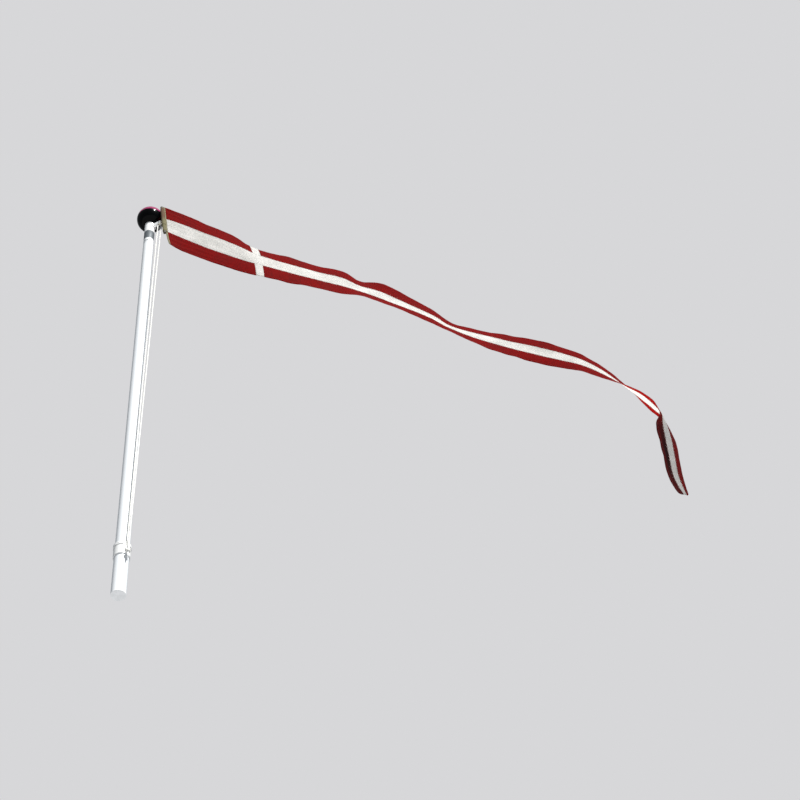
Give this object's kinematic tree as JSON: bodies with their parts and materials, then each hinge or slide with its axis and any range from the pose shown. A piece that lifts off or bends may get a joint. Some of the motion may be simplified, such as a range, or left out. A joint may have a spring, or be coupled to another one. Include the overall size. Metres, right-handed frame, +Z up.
{
  "type": "wind pennant on flagpole",
  "caption": "Long tapered red and white wind pennant on a revolving flagpole truck with ball, halyard and the pole's top section.",
  "frame": {"origin": "centre of the pole section's foot, on the pole's axis, where its butt enters the socket below", "axes": "+Z up along the pole's axis; +X roughly downwind, with the pennant's heading 22 degrees from +X towards +Y"},
  "size_m": [2.9014, 1.1779, 3.3],
  "materials": {
    "white_gelcoat": "glossy white gelcoat",
    "white_plug": "satin white moulding",
    "grey_housing": "satin grey anodised",
    "white_casting": "white powder coat",
    "stainless": "stainless steel",
    "bronze": "sintered bronze",
    "ball_black": "gloss black",
    "ball_crimson": "gloss crimson lacquer",
    "cream_nylon": "cream nylon",
    "rope_white": "braided polyester",
    "band_liner": "low-friction white liner",
    "cloth_red": "polyester bunting",
    "cloth_white": "polyester bunting",
    "canvas_khaki": "cotton canvas",
    "stick_wood": "oiled ash dowel",
    "cap_rubber": "black rubber"
  },
  "bodies": {
    "pole": {"pole_tube": "white_gelcoat", "foot_plug": "white_plug", "bearing_housing": "grey_housing", "housing_screws": "stainless", "bush_upper": "bronze", "bush_lower": "bronze", "thrust_washer": "bronze", "stop_collar": "white_casting", "collar_screws": "stainless"},
    "rotor": {"rotor_head": "white_casting", "rotor_shaft": "stainless", "shaft_pin": "stainless", "shaft_circlip": "stainless", "shaft_washer": "bronze", "ball_lower_shell": "ball_black", "ball_upper_shell": "ball_crimson", "ball_stud": "stainless", "ball_saddle_washer": "stainless", "ball_nut": "stainless", "sheave_cheek_left": "white_casting", "sheave_cheek_right": "white_casting", "cheek_screws": "stainless", "sheave_axle": "stainless", "axle_clip": "stainless", "halyard_hoist_line": "rope_white", "halyard_downhaul": "rope_white", "halyard_hitch": "rope_white", "swivel_pin": "stainless", "band_liner": "band_liner", "cleat_band": "white_casting", "band_bolts": "stainless", "band_nuts": "stainless", "cleat": "white_casting", "cleat_screws": "stainless"},
    "sheave": {"sheave": "cream_nylon"},
    "pennant": {"swivel_shackle": "stainless", "shackle_pin": "stainless", "stick_loop": "canvas_khaki", "hoist_stick": "stick_wood", "stick_sleeve": "canvas_khaki", "stick_cap_upper": "cap_rubber", "stick_cap_lower": "cap_rubber", "hoist_tape": "canvas_khaki", "red_hoist_upper": "cloth_red", "red_hoist_lower": "cloth_red", "white_bar_upper": "cloth_white", "white_bar_lower": "cloth_white", "red_fly_upper": "cloth_red", "red_fly_lower": "cloth_red", "white_stripe": "cloth_white"}
  },
  "joints": [
    {"name": "head_turn", "type": "hinge", "parent": "pole", "child": "rotor", "pos_m": [0, 0, 3.05], "axis": [0, 0, 1], "continuous": true},
    {"name": "sheave_spin", "type": "hinge", "parent": "rotor", "child": "sheave", "pos_m": [0.0639, -0.02326, 3.124], "axis": [0.342, 0.9397, 0], "continuous": true},
    {"name": "pennant_swing", "type": "hinge", "parent": "rotor", "child": "pennant", "pos_m": [0.07424, -0.02702, 3.067], "axis": [0, 0, 1], "range_deg": [-8, 75]}
  ]
}
